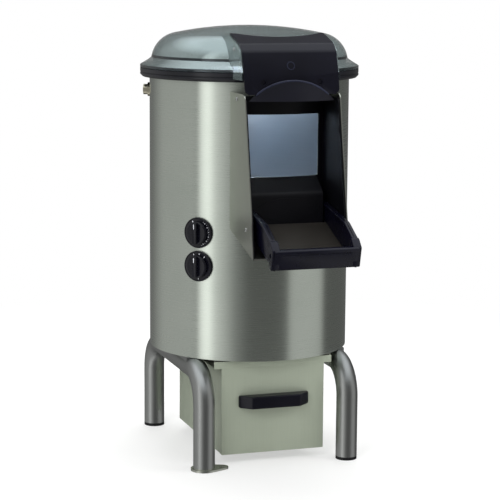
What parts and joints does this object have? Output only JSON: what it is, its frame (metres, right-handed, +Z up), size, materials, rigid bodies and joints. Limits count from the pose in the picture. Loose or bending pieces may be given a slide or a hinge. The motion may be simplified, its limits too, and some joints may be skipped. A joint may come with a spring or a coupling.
{
  "type": "electric potato peeler",
  "caption": "Floor-standing electric potato peeler: steel drum on bent-tube legs, clear hinged lid, discharge chute with drop-down tray, abrasive disc and filter drawer.",
  "frame": {"origin": "on the floor, under the drum's axis", "axes": "+Z up, -Y the front with the chute, knobs and drawer, +X to the right seen from the front"},
  "size_m": [0.4376, 0.6494, 0.855],
  "materials": {
    "steel": "brushed stainless steel",
    "tube_steel": "satin stainless tube",
    "front_steel": "satin stainless sheet",
    "clear_cover": "clear moulded polycarbonate",
    "black_moulding": "black moulded ABS",
    "gasket_rubber": "black rubber",
    "foot_rubber": "black rubber",
    "machined_steel": "machined steel",
    "cast_alloy": "cast aluminium",
    "grit": "bonded abrasive",
    "motor_paint": "satin paint",
    "belt_rubber": "ribbed rubber",
    "service_plastic": "moulded plastic",
    "brass_fitting": "nickel-plated brass"
  },
  "bodies": {
    "stand": {"left_leg_frame": "tube_steel", "right_leg_frame": "tube_steel", "frame_saddles": "tube_steel", "rubber_feet": "foot_rubber", "anchor_foot": "front_steel", "outer_casing": "steel", "base_plate": "steel", "rim_gasket": "gasket_rubber", "lid_hinge_bracket": "front_steel", "lid_hinge_pin": "machined_steel", "left_chute_cheek": "front_steel", "right_chute_cheek": "front_steel", "chute_liner": "black_moulding", "chute_bottom_plate": "front_steel", "cheek_screws": "machined_steel", "timer_dial": "black_moulding", "timer_body": "service_plastic", "selector_dial": "black_moulding", "selector_switch_body": "service_plastic", "water_inlet": "brass_fitting", "inlet_nut": "brass_fitting", "spray_nozzle": "brass_fitting", "cable_gland": "service_plastic", "drain_pipe": "service_plastic", "chamber_floor": "steel", "bearing_housing": "cast_alloy", "lower_bearing": "machined_steel", "upper_bearing": "machined_steel", "shaft_seal": "gasket_rubber", "motor_body": "motor_paint", "motor_bracket": "front_steel", "drive_belt": "belt_rubber", "terminal_box": "service_plastic", "drawer_rails": "front_steel"},
    "lid": {"lid_dome": "clear_cover", "lid_hood": "black_moulding", "hood_screws": "machined_steel", "lid_hinge_knuckle": "front_steel"},
    "tray": {"tray_frame": "black_moulding", "tray_floor": "front_steel"},
    "disc": {"drive_shaft": "machined_steel", "peeling_disc": "cast_alloy", "disc_abrasive": "grit", "disc_nut": "machined_steel", "sweeper_paddles": "machined_steel", "main_pulley": "cast_alloy"},
    "rotor": {"motor_shaft": "machined_steel", "motor_pulley": "cast_alloy"},
    "timer_knob": {"timer_knob": "black_moulding"},
    "selector_knob": {"selector_knob": "black_moulding"},
    "drawer": {"drawer_box": "front_steel", "drawer_front": "front_steel", "drawer_handle": "black_moulding", "filter_basket": "front_steel", "drain_outlet": "service_plastic"}
  },
  "joints": [
    {"name": "lid_hinge", "type": "hinge", "parent": "stand", "child": "lid", "pos_m": [0, 0.233, 0.772], "axis": [-1, 0, 0], "range_deg": [0, 80]},
    {"name": "tray_hinge", "type": "hinge", "parent": "stand", "child": "tray", "pos_m": [0, -0.2, 0.518], "axis": [-1, 0, 0], "range_deg": [0, 101]},
    {"name": "drawer_slide", "type": "slide", "parent": "stand", "child": "drawer", "axis": [0, -1, 0], "range_m": [0, 0.28]},
    {"name": "disc_spin", "type": "hinge", "parent": "stand", "child": "disc", "pos_m": [0, 0, 0.4], "axis": [0, 0, 1], "continuous": true},
    {"name": "motor_spin", "type": "hinge", "parent": "stand", "child": "rotor", "pos_m": [0, 0.12, 0.4], "axis": [0, 0, 1], "continuous": true},
    {"name": "timer_turn", "type": "hinge", "parent": "stand", "child": "timer_knob", "pos_m": [-0.15333, -0.14349, 0.4608], "axis": [-0.7302, -0.6833, 0], "range_deg": [-300, 0]},
    {"name": "selector_turn", "type": "hinge", "parent": "stand", "child": "selector_knob", "pos_m": [-0.15333, -0.14349, 0.3953], "axis": [-0.7302, -0.6833, 0], "range_deg": [-45, 45]}
  ],
  "couplings": [
    {"joint": "motor_spin", "follows": "disc_spin", "ratio": 3.8636}
  ]
}
